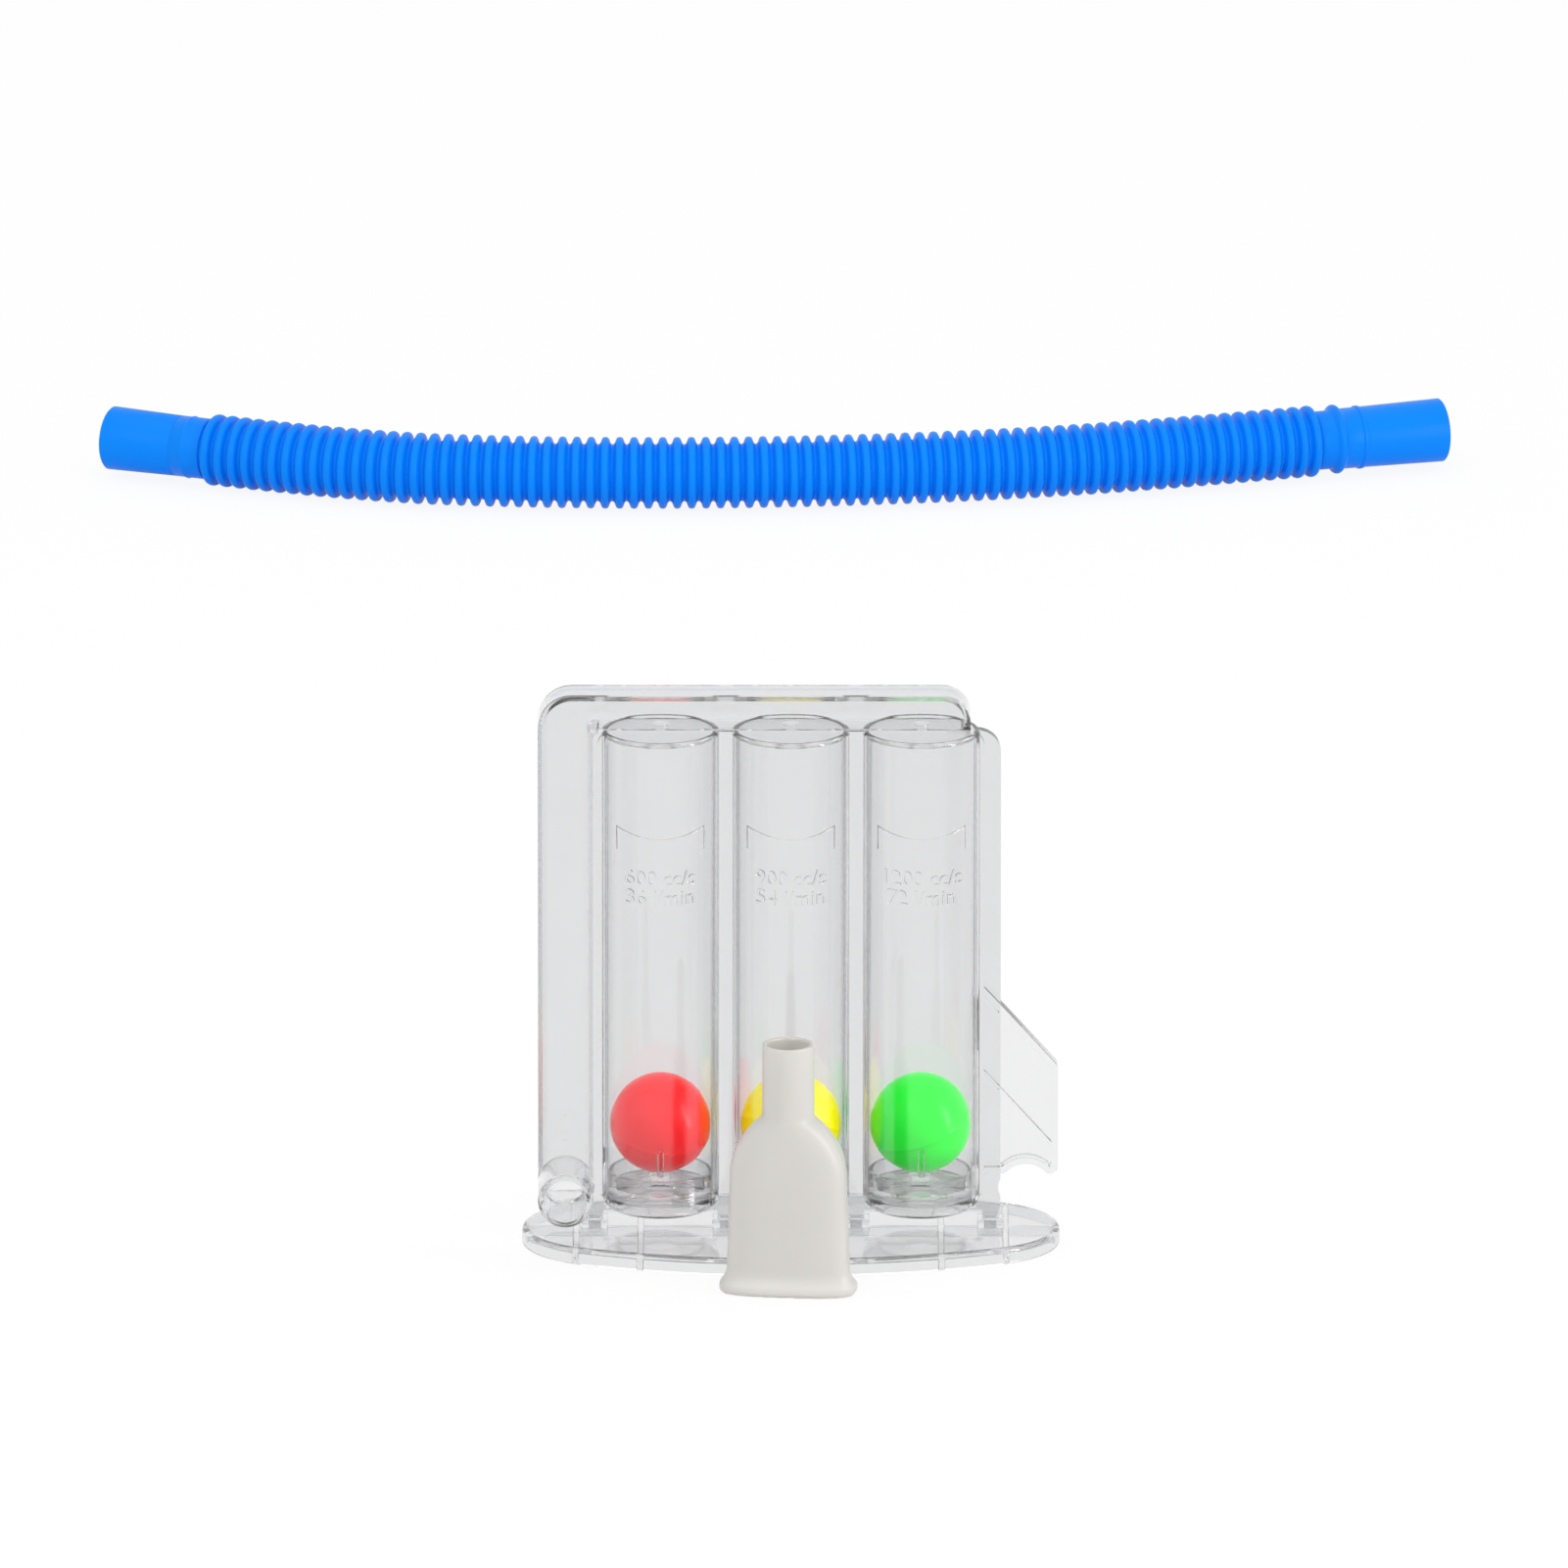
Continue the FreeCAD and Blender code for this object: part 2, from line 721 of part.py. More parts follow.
# Each moulding is saved in three bays, cut midway between the tubes, and the duct by itself
front = front_moulding()
rear = rear_moulding()
duct = rear.common(air_trough()).cut([tube_outside(x) for x in tube_xs])
save(duct, "air_duct")
save(hose_port(), "hose_port")
save(holder_wing(), "holder_wing")
save(base_stand(), "base_stand")
for i, (side, colour) in enumerate(zip(("left", "middle", "right"), ("red", "yellow", "green"))):
    save(front.common(bay(i)), "front_shell_" + side)
    save(rear.cut(duct).common(bay(i)), "rear_shell_" + side)
    save(ball_seat(tube_xs[i]), "ball_seat_" + side)
    save(ball(tube_xs[i]), "ball_" + colour)
save(mouthpiece(), "mouthpiece")
save(hose_tube(), "hose_tube")
save(hose_cuff_port_end(), "hose_cuff_port_end")
save(hose_cuff_mouth_end(), "hose_cuff_mouth_end")
print("ball travel", round(tube_ceiling_z - ball_rest_gap - ball_radius - ball_rest_z, 2), "mm")
print("port axis", round(port_axis_x, 2), "notch x", round(notch_x, 2))
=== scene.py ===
# %% [markdown]
# # A clear three-ball breathing exerciser
# The object is a clear styrene body on an oval stand. Three hollow balls rise in its tubes when the
# patient breathes in through the mouthpiece and the blue corrugated hose, which both lie loose here.
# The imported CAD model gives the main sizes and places. This lesson dresses it: the clear mouldings
# get rounded edges, raised marks and a plastic that bends light, the mouthpiece is softened, and
# the hose, its cuffs and the balls are modelled anew, with the detail that CAD leaves out.

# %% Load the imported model
import json
import math

import bpy
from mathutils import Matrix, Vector


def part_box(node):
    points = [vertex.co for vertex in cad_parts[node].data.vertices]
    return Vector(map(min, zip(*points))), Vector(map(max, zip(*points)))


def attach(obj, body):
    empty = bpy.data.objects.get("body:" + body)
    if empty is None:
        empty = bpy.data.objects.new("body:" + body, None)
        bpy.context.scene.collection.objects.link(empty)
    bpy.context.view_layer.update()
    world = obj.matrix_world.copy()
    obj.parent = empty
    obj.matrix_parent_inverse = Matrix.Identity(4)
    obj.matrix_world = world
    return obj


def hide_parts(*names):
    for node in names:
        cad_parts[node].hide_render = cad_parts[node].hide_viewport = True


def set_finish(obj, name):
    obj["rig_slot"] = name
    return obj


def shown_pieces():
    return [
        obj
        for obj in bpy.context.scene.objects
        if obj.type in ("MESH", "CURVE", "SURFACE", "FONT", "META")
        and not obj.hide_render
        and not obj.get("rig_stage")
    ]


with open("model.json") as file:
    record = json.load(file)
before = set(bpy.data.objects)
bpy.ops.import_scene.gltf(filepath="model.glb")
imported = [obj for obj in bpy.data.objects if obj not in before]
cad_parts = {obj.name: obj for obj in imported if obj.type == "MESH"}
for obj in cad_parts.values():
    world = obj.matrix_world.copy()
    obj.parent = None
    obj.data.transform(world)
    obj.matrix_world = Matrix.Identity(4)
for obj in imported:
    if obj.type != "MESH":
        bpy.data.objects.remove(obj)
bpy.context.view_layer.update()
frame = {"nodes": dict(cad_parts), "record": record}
nodes = frame["nodes"]
MM = 0.001
COPY_MERGE_DISTANCE = 0.001 * MM
MARK_MERGE_DISTANCE = 0.002 * MM
RING_MERGE_DISTANCE = 0.01 * MM

# %% [markdown]
# Edit-mode operators act on everything that is selected, and loading leaves the CAD nodes selected.
# These helpers clear the selection, pick one object, and let a step work in edit mode and leave it.

# %% Selection helpers
def pick(piece):
    """Selects this piece alone."""
    bpy.ops.object.select_all(action="DESELECT")
    piece.select_set(True)
    bpy.context.view_layer.objects.active = piece
    return piece


def edit(piece, mode="VERT"):
    pick(piece)
    bpy.ops.object.mode_set(mode="EDIT")
    bpy.ops.mesh.select_mode(type=mode)


def leave_edit():
    bpy.ops.object.mode_set(mode="OBJECT")


def settle(piece):
    """Puts the piece's place, turn and size into its mesh."""
    pick(piece)
    bpy.ops.object.transform_apply(location=True, rotation=True, scale=True)


def add_modifier(piece, kind, **settings):
    """Adds a modifier with its settings and applies it at once."""
    pick(piece)
    modifier = piece.modifiers.new(kind.lower(), kind)
    for name, value in settings.items():
        setattr(modifier, name, value)
    bpy.ops.object.modifier_apply(modifier=modifier.name)


def smooth(piece, angle):
    """Shades it smooth where its faces meet at less than this many degrees."""
    pick(piece)
    bpy.ops.object.shade_smooth_by_angle(angle=math.radians(angle))


def copy_of(node_name, name):
    """A piece of its own with a CAD node's shape, its loose triangles merged."""
    piece = bpy.data.objects.new(name, nodes[node_name].data.copy())
    piece.data.materials.clear()
    bpy.context.scene.collection.objects.link(piece)
    edit(piece)
    bpy.ops.mesh.select_all(action="SELECT")
    bpy.ops.mesh.remove_doubles(threshold=COPY_MERGE_DISTANCE)
    bpy.ops.mesh.customdata_custom_splitnormals_clear()
    leave_edit()
    return piece


def unite(piece, others):
    """Joins other closed pieces to a piece, so that no wall is left inside."""
    for other in others:
        add_modifier(piece, "BOOLEAN", operation="UNION", solver="MANIFOLD", object=other)
        bpy.data.objects.remove(other)


bpy.ops.object.select_all(action="DESELECT")

# %% [markdown]
# The photograph looks down by 16 degrees from far away, which keeps the tubes nearly parallel. The
# camera stands 11.3 m from a point high in the body, and its long lens gives the body the size it
# has in the picture.

# %% The camera
AIM = Vector((-1.8, 0.0, 124.1)) * MM
CAMERA_DISTANCE = 11.3
CAMERA_TILT = math.radians(16)
CAMERA_REACH = 100.0
SENSOR_WIDTH = 36.0
FRAME_PIXELS = 1601
FOCAL_PIXELS = 44296

view_direction = Vector((0, math.cos(CAMERA_TILT), -math.sin(CAMERA_TILT)))
bpy.ops.object.camera_add(
    location=AIM - view_direction * CAMERA_DISTANCE,
    rotation=(math.pi / 2 - CAMERA_TILT, 0, 0),
)
camera = bpy.context.object
camera.name = "photo_camera"
camera.data.sensor_width = SENSOR_WIDTH
camera.data.lens = SENSOR_WIDTH * FOCAL_PIXELS / FRAME_PIXELS
camera.data.clip_end = CAMERA_REACH
bpy.context.scene.camera = camera
print("Lens in mm:", round(camera.data.lens, 1))

# %% [markdown]
# The hose lies by itself on the table behind the body, in the slack curve that it keeps from its
# bag. It is a fixed length of soft tube, so its middle line comes first: a NURBS line on the
# CAD route's points, but for the port end, which is set 3.5 mm further back. The corrugations and
# the cuffs are later set along this line.

# %% The hose's middle line
HOSE_AXIS_Z = 10.0
LINE_STEPS = 24
HOSE_ROUTE = [
    (-162.6, 735.6),
    (-121.5, 717.4),
    (-69.0, 710.6),
    (-11.0, 710.4),
    (46.0, 716.6),
    (100.0, 728.6),
    (149.8, 745.0),
]


def nurbs_line(name, points):
    """A smooth open line that starts and ends at the outer points and is drawn to the others."""
    curve = bpy.data.curves.new(name, "CURVE")
    curve.dimensions = "3D"
    curve.resolution_u = LINE_STEPS
    spline = curve.splines.new("NURBS")
    spline.points.add(len(points) - 1)
    for slot, point in zip(spline.points, points):
        slot.co = (*point, 1)
    spline.order_u = 3
    spline.use_endpoint_u = True
    line = bpy.data.objects.new(name, curve)
    bpy.context.scene.collection.objects.link(line)
    return line


def points_on(line):
    """The points that Blender makes of a line, in order."""
    mesh = bpy.data.meshes.new_from_object(line)
    points = [v.co.copy() for v in mesh.vertices]
    bpy.data.meshes.remove(mesh)
    return points


hose_line = nurbs_line("hose_line", [Vector((x, y, HOSE_AXIS_Z)) * MM for x, y in HOSE_ROUTE])
bpy.context.view_layer.update()
hose_path = points_on(hose_line)
hose_length = sum((b - a).length for a, b in zip(hose_path, hose_path[1:]))
print("Hose middle line in mm:", round(hose_length / MM, 1))

# %% [markdown]
# Many pieces here are round or oval all the way along: the hose's ridges, the cuffs, the mouthpiece
# and the balls. A potter pulls such a wall up ring by ring, and so does this helper. It adds a
# circle, then extrudes its edge again and again, and moves and scales each new ring to its height
# and size. A wall that comes back to its first ring is closed there by merging the doubles.

# %% Pulling a wall ring by ring
def pull_rings(name, rings, vertices, closed=False):
    """A wall of rings, each given as (height, half width, half depth) in mm, along Z."""
    height, wide, deep = rings[0]
    bpy.ops.mesh.primitive_circle_add(
        vertices=vertices, radius=MM, fill_type="NOTHING", location=(0, 0, 0)
    )
    piece = bpy.context.object
    piece.name = name
    edit(piece, "EDGE")
    bpy.ops.mesh.select_all(action="SELECT")
    bpy.ops.transform.resize(value=(wide, deep, 1))
    bpy.ops.transform.translate(value=(0, 0, height * MM))
    for new_height, new_wide, new_deep in rings[1:]:
        bpy.ops.mesh.extrude_edges_move()
        bpy.ops.transform.translate(value=(0, 0, (new_height - height) * MM))
        bpy.ops.transform.resize(
            value=(new_wide / wide, new_deep / deep, 1), center_override=(0, 0, new_height * MM)
        )
        height, wide, deep = new_height, new_wide, new_deep
    bpy.ops.mesh.select_all(action="SELECT")
    if closed:
        bpy.ops.mesh.remove_doubles(threshold=RING_MERGE_DISTANCE)
    bpy.ops.mesh.normals_make_consistent(inside=False)
    leave_edit()
    return piece


def round_rings(profile):
    """Rings of one radius each, from (height, radius)."""
    return [(height, radius, radius) for height, radius in profile]


# %% [markdown]
# The hose is blown polyethylene with soft round ridges and narrower valleys. One ridge is pulled as
# a ring, an Array copies it along, and a Curve modifier bends the whole stack along the middle
# line. A Solidify then gives it a real wall, so the ridges show inside as well.

# %% The corrugated hose
RIDGE_COUNT = 79
HOSE_RADIUS = 9.93
VALLEY_RADIUS = 7.9
HOSE_WALL = 0.8
HOSE_SIDES = 48
HOSE_SHARP_ANGLE = 60
RIDGE_MERGE_DISTANCE = 0.02 * MM
PLAIN_AT_PORT_END = 1.45
PLAIN_AT_MOUTH_END = 4.55
# One ridge, as shares of its pitch and of its height: a narrow valley, then a broad round crest.
RIDGE_SHAPE = [
    (0.0, 0.0),
    (0.12, 0.02),
    (0.22, 0.22),
    (0.29, 0.62),
    (0.37, 0.90),
    (0.50, 1.0),
    (0.63, 1.0),
    (0.76, 0.90),
    (0.84, 0.62),
    (0.91, 0.22),
    (1.0, 0.0),
]

ridges_length = hose_length / MM - PLAIN_AT_PORT_END - PLAIN_AT_MOUTH_END
ridge_pitch = ridges_length / RIDGE_COUNT
ridge_depth = HOSE_RADIUS - VALLEY_RADIUS
ridge_profile = [
    (PLAIN_AT_PORT_END + ridge_pitch * along, VALLEY_RADIUS + ridge_depth * rise)
    for along, rise in RIDGE_SHAPE
]
hose = pull_rings("hose_corrugated", round_rings(ridge_profile), HOSE_SIDES)
add_modifier(
    hose,
    "ARRAY",
    count=RIDGE_COUNT,
    use_relative_offset=False,
    use_constant_offset=True,
    constant_offset_displace=(0, 0, ridge_pitch * MM),
    use_merge_vertices=True,
    merge_threshold=RIDGE_MERGE_DISTANCE,
)
add_modifier(hose, "CURVE", object=hose_line, deform_axis="POS_Z")
add_modifier(hose, "SOLIDIFY", thickness=HOSE_WALL * MM, offset=-1)
smooth(hose, HOSE_SHARP_ANGLE)
print("Hose faces:", len(hose.data.polygons))

# %% [markdown]
# Each end of the hose is a smooth moulded cuff that grips a pipe. The left one goes on the body's
# port: it has a fine raised ring and a moulding seam. The right one takes the mouthpiece, and has a
# neck, a bead to pull on and a collar. Both are pulled as one closed wall, out along the outside
# and back through the bore, and are then laid along the ends of the middle line.

# %% The two cuffs
CUFF_SIDES = 72
CUFF_RADIUS = 8.8
CUFF_WAIST_RADIUS = 8.45
CUFF_LIP = 0.35
CUFF_BORE_LENGTH = 20.0
CUFF_EDGE_ROUND = 0.15
CUFF_EDGE_ANGLE = 50
CUFF_SHARP_ANGLE = 40
THROAT_RADIUS = 6.0
PORT_CUFF_LENGTH = 28.4
PORT_CUFF_BORE = 7.25
PORT_CUFF_START_RADIUS = 8.35
BUMP_START = 3.2
BUMP_TOP = 3.8
BUMP_END = 4.4
BUMP_HEIGHT = 0.25
SEAM_START = 7.2
SEAM_MIDDLE = 7.5
SEAM_END = 7.8
SEAM_DEPTH = 0.22
MOUTH_CUFF_LENGTH = 32.6
MOUTH_CUFF_BORE = 6.9
NECK_RADIUS = 8.15
BEAD_SHOULDER_RADIUS = 9.3
BEAD_RADIUS = 9.6
COLLAR_RADIUS = 8.8


def cuff_end(length, bore, plain):
    """The rings every cuff ends with: out over the lip, back through the bore, and to its start."""
    return [
        (length - CUFF_LIP, CUFF_RADIUS),
        (length, CUFF_RADIUS - CUFF_LIP),
        (length, bore + CUFF_LIP),
        (length - CUFF_LIP, bore),
        (length - CUFF_BORE_LENGTH, bore),
        (length - CUFF_BORE_LENGTH, THROAT_RADIUS),
        (-plain, THROAT_RADIUS),
    ]


port_cuff_profile = [
    (-PLAIN_AT_PORT_END, THROAT_RADIUS),
    (-PLAIN_AT_PORT_END, VALLEY_RADIUS),
    (-1.5, PORT_CUFF_START_RADIUS),
    (-0.5, CUFF_WAIST_RADIUS),
    (BUMP_START, CUFF_WAIST_RADIUS),
    (BUMP_TOP, CUFF_WAIST_RADIUS + BUMP_HEIGHT),
    (BUMP_END, CUFF_WAIST_RADIUS),
    (SEAM_START, CUFF_WAIST_RADIUS),
    (SEAM_MIDDLE, CUFF_WAIST_RADIUS - SEAM_DEPTH),
    (SEAM_END, CUFF_WAIST_RADIUS),
    *cuff_end(PORT_CUFF_LENGTH, PORT_CUFF_BORE, PLAIN_AT_PORT_END),
]
mouth_cuff_neck = [
    (-PLAIN_AT_MOUTH_END, THROAT_RADIUS),
    (-PLAIN_AT_MOUTH_END, VALLEY_RADIUS),
    (-3.4, NECK_RADIUS),
    (-0.4, NECK_RADIUS),
]
mouth_cuff_bead = [
    (0.0, CUFF_WAIST_RADIUS),
    (0.5, BEAD_SHOULDER_RADIUS),
    (1.0, BEAD_RADIUS),
    (1.6, BEAD_RADIUS),
    (2.1, BEAD_SHOULDER_RADIUS),
    (2.6, CUFF_WAIST_RADIUS + 0.15),
    (3.2, CUFF_WAIST_RADIUS - 0.05),
]
mouth_cuff_collar = [
    (7.4, CUFF_WAIST_RADIUS),
    (7.7, COLLAR_RADIUS),
    (8.5, COLLAR_RADIUS),
    (8.8, CUFF_WAIST_RADIUS),
]
mouth_cuff_profile = [
    *mouth_cuff_neck,
    *mouth_cuff_bead,
    *mouth_cuff_collar,
    *cuff_end(MOUTH_CUFF_LENGTH, MOUTH_CUFF_BORE, PLAIN_AT_MOUTH_END),
]


def lay_along(piece, place, direction):
    """Turns a piece that was pulled along Z into a direction on the table, and moves it there."""
    piece.rotation_euler = (0, math.pi / 2, math.atan2(direction.y, direction.x))
    piece.location = place
    settle(piece)


def make_cuff(name, profile, place, direction):
    """A cuff from its profile, laid at an end of the hose with its edges eased."""
    cuff = pull_rings(name, round_rings(profile), CUFF_SIDES, closed=True)
    lay_along(cuff, place, direction)
    edge_angle = math.radians(CUFF_EDGE_ANGLE)
    add_modifier(cuff, "BEVEL", width=CUFF_EDGE_ROUND * MM, segments=2, angle_limit=edge_angle)
    smooth(cuff, CUFF_SHARP_ANGLE)
    return cuff


first, second, *_ = hose_path
*_, last_but_one, last = hose_path
port_cuff = make_cuff("hose_port_cuff", port_cuff_profile, first, first - second)
mouth_cuff = make_cuff("hose_mouth_cuff", mouth_cuff_profile, last, last - last_but_one)

# %% [markdown]
# The corrugated tube and both cuffs hang on one body, the hose, and share its blue finish. The hose
# lies loose, and its far end isn't plugged in.

# %% The hose's body and finish
bpy.data.objects.remove(hose_line)
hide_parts("hose_tube")
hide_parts("hose_cuff_port_end")
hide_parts("hose_cuff_mouth_end")
for part in (hose, port_cuff, mouth_cuff):
    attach(part, "hose")
    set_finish(part, "hose_blue")

# %% [markdown]
# ## The clear body
# The front and the rear moulding meet along their flanges. A thin film of air stays between the
# two, which is why a flange shows two sets of edges and looks greyer than a single wall. In the
# CAD model they are nine nodes, cut between the tubes. Here copies of the nodes of each moulding
# are united into one closed skin, so that no inner wall bends the light where the plastic is
# solid, and the sharp edges get the small round that every mould leaves.

# %% The two mouldings
SIDES = ("left", "middle", "right")
FRONT_NODES = ["front_shell_" + side for side in SIDES] + ["hose_port", "holder_wing"]
REAR_NODES = ["rear_shell_" + side for side in SIDES] + ["air_duct"]
AIR_FILM = 0.05
FILLET = 0.35
STAND_FILLET = 0.6
SEAT_FILLET = 0.3
FILLET_ANGLE = 55
SHARP_ANGLE = 40


def join_moulding(name, node_names, shift, fillet):
    """One closed skin from copies of a moulding's nodes, set back a little and its edges rounded."""
    first, *others = [copy_of(node, node + "_copy") for node in node_names]
    first.name = name
    unite(first, others)
    edit(first)
    bpy.ops.mesh.select_all(action="SELECT")
    bpy.ops.transform.translate(value=(0, shift * MM, 0))
    leave_edit()
    add_modifier(
        first,
        "BEVEL",
        width=fillet * MM,
        segments=2,
        limit_method="ANGLE",
        angle_limit=math.radians(FILLET_ANGLE),
        use_clamp_overlap=True,
    )
    print(f"{name}: {len(first.data.polygons)} faces")
    return first


def finish_moulding(piece, node_names, slot):
    """Smooth its rounds without bending its flats, and let it stand for its nodes."""
    smooth(piece, SHARP_ANGLE)
    add_modifier(piece, "WEIGHTED_NORMAL", mode="FACE_AREA", keep_sharp=True)
    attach(piece, "body")
    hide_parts(*node_names)
    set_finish(piece, slot)


# %% Joining them
clear_front = join_moulding("clear_front", FRONT_NODES, 0, FILLET)
clear_rear = join_moulding("clear_rear", REAR_NODES, AIR_FILM, FILLET)
finish_moulding(clear_rear, REAR_NODES, "clear_shell")
clear_stand = join_moulding("clear_stand", ["base_stand"], 0, STAND_FILLET)
finish_moulding(clear_stand, ["base_stand"], "clear_base")
for side in SIDES:
    seat_node = "ball_seat_" + side
    clear_seat = join_moulding("clear_seat_" + side, [seat_node], 0, SEAT_FILLET)
    finish_moulding(clear_seat, [seat_node], "clear_shell")

# %% [markdown]
# ## Raised marks
# Each tube carries its flow on the front, moulded as thin raised lines: a field with a dished top
# edge, and below it the flow per second and per minute in plain figures. Text is made a mesh,
# pressed onto the tube's curve by a projecting Shrinkwrap and given a thickness. A small upright
# rib stands in front of each ball.

# %% Sizes of the marks
TUBE_PITCH = 34.0
TUBE_RADIUS = 15.3
TEXT_HEIGHT = 0.32
TEXT_SIZE = 5.6
FLOWS = ("600 cc/s", "900 cc/s", "1200 cc/s")
FLOW_Z = 100.9
MINUTE_FLOWS = ("36 l/min", "54 l/min", "72 l/min")
MINUTE_FLOW_Z = 95.6
GUIDE_WIDTH = 1.7
GUIDE_BOTTOM_Z = 21.9
GUIDE_TOP_Z = 28.8
FIELD_HALF_WIDTH = 11.35
FIELD_TOP_Z = 115.7
FIELD_DIP = 2.5
FIELD_BOTTOM_Z = 109.6
FIELD_EDGE_STEPS = 12
LINE_WIDTH = 0.45


# %% A raised line
def tube_front_y(x):
    """How far forward the tube's front is, at this distance from its middle."""
    return -math.sqrt(TUBE_RADIUS**2 - x**2)


def raised_line(name, tube_x, corners, width):
    """A fine round bead along (x, z) corners on a tube's front, half of it proud of the tube."""
    (x, z), *others = corners
    bpy.ops.mesh.primitive_plane_add(size=MM, location=(0, 0, 0))
    piece = bpy.context.object
    piece.name = name
    edit(piece)
    bpy.ops.mesh.select_all(action="SELECT")
    bpy.ops.mesh.merge(type="CENTER")
    bpy.ops.transform.translate(value=Vector((tube_x + x, tube_front_y(x), z)) * MM)
    for next_x, next_z in others:
        step = Vector((next_x - x, tube_front_y(next_x) - tube_front_y(x), next_z - z)) * MM
        bpy.ops.mesh.extrude_vertices_move(TRANSFORM_OT_translate={"value": step})
        x, z = next_x, next_z
    leave_edit()
    bpy.ops.object.convert(target="CURVE")
    piece.data.bevel_depth = width / 2 * MM
    piece.data.bevel_resolution = 2
    piece.data.use_fill_caps = True
    bpy.ops.object.convert(target="MESH")
    bead = bpy.context.object
    edit(bead)
    bpy.ops.mesh.select_all(action="SELECT")
    bpy.ops.mesh.remove_doubles(threshold=MARK_MERGE_DISTANCE)
    bpy.ops.mesh.normals_make_consistent(inside=False)
    leave_edit()
    return bead


def dished_edge():
    """The field's top edge: it dips in the middle, as part of a circle."""
    points = []
    for i in range(FIELD_EDGE_STEPS + 1):
        x = FIELD_HALF_WIDTH * (2 * i / FIELD_EDGE_STEPS - 1)
        points.append((x, FIELD_TOP_Z - FIELD_DIP * (1 - (x / FIELD_HALF_WIDTH) ** 2)))
    return points


# %% A raised text
def raised_text(text, tube_x, z):
    """A number or a unit cut from thin sheet, pressed onto a tube's front and left proud of it."""
    bpy.ops.object.text_add(location=(0, 0, 0))
    flat = bpy.context.object
    flat.name = "mark_text"
    flat.data.body = text
    flat.data.size = TEXT_SIZE * MM
    flat.data.align_x = "CENTER"
    flat.data.resolution_u = 3
    bpy.ops.object.convert(target="MESH")
    piece = bpy.context.object
    piece.rotation_euler = (math.pi / 2, 0, 0)
    piece.location = Vector((tube_x, -2 * TUBE_RADIUS, z)) * MM
    settle(piece)
    edit(piece)
    bpy.ops.mesh.select_all(action="SELECT")
    bpy.ops.mesh.remove_doubles(threshold=MARK_MERGE_DISTANCE)
    bpy.ops.mesh.quads_convert_to_tris()
    leave_edit()
    add_modifier(
        piece,
        "SHRINKWRAP",
        target=clear_front,
        wrap_method="PROJECT",
        use_project_y=True,
        use_positive_direction=True,
    )
    add_modifier(piece, "SOLIDIFY", thickness=2 * TEXT_HEIGHT * MM, offset=0)
    edit(piece)
    bpy.ops.mesh.select_all(action="SELECT")
    bpy.ops.mesh.normals_make_consistent(inside=False)
    leave_edit()
    return piece


# %% Marks on all three tubes
field_frame = [(-FIELD_HALF_WIDTH, FIELD_BOTTOM_Z), *dished_edge(), (FIELD_HALF_WIDTH, FIELD_BOTTOM_Z)]
guide_bead = [(0, GUIDE_BOTTOM_Z), (0, GUIDE_TOP_Z)]
marks = []
for tube, flow, minute_flow in zip((-1, 0, 1), FLOWS, MINUTE_FLOWS):
    tube_x = tube * TUBE_PITCH
    marks.append(raised_line("field_line", tube_x, field_frame, LINE_WIDTH))
    marks.append(raised_line("guide_bead", tube_x, guide_bead, GUIDE_WIDTH))
    marks.append(raised_text(flow, tube_x, FLOW_Z))
    marks.append(raised_text(minute_flow, tube_x, MINUTE_FLOW_Z))
unite(clear_front, marks)
finish_moulding(clear_front, FRONT_NODES, "clear_shell")

# %% [markdown]
# ## The balls
# Each ball is blown in a mould of two halves, which leaves a fine raised seam round the middle. Its
# skin is pulled ring by ring from pole to pole and then given a wall.

# %% Balls
BALL_RADIUS = 13.15
BALL_WALL = 1.0
BALL_RINGS = 32
BALL_SIDES = 64
SEAM_HALF_WIDTH = 0.22
SEAM_RISE = 0.05
SEAM_TOP_SHARE = 0.6
BALL_SHARP_ANGLE = 40
# How far each ball has rolled, in degrees about X and Y.
BALL_TILTS = {"ball_red": (24, 10), "ball_yellow": (-15, 8), "ball_green": (12, -20)}


def ball_profile():
    """The ball's rings from pole to pole, with the raised seam in place of its middle ring."""
    profile = []
    for i in range(1, BALL_RINGS):
        angle = math.pi * (i / BALL_RINGS - 0.5)
        profile.append((BALL_RADIUS * math.sin(angle), BALL_RADIUS * math.cos(angle)))
    middle = len(profile) // 2
    seam = [
        (-SEAM_HALF_WIDTH, BALL_RADIUS),
        (-SEAM_HALF_WIDTH * SEAM_TOP_SHARE, BALL_RADIUS + SEAM_RISE),
        (SEAM_HALF_WIDTH * SEAM_TOP_SHARE, BALL_RADIUS + SEAM_RISE),
        (SEAM_HALF_WIDTH, BALL_RADIUS),
    ]
    return profile[:middle] + seam + profile[middle + 1 :]


def close_poles(piece):
    """Fills the small holes that the first and the last ring leave."""
    edit(piece, "EDGE")
    bpy.ops.mesh.select_all(action="DESELECT")
    bpy.ops.mesh.select_non_manifold()
    bpy.ops.mesh.edge_face_add()
    bpy.ops.mesh.select_all(action="SELECT")
    bpy.ops.mesh.normals_make_consistent(inside=False)
    leave_edit()


for node_name, (tilt_x, tilt_y) in BALL_TILTS.items():
    low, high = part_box(node_name)
    ball = pull_rings(node_name + "_blown", round_rings(ball_profile()), BALL_SIDES)
    close_poles(ball)
    add_modifier(ball, "SOLIDIFY", thickness=BALL_WALL * MM, offset=-1)
    ball.rotation_euler = (math.radians(tilt_x), math.radians(tilt_y), 0)
    ball.location = (Vector(low) + Vector(high)) / 2
    settle(ball)
    smooth(ball, BALL_SHARP_ANGLE)
    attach(ball, node_name.replace("ball_", "") + "_ball")
    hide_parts(node_name)
    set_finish(ball, node_name)

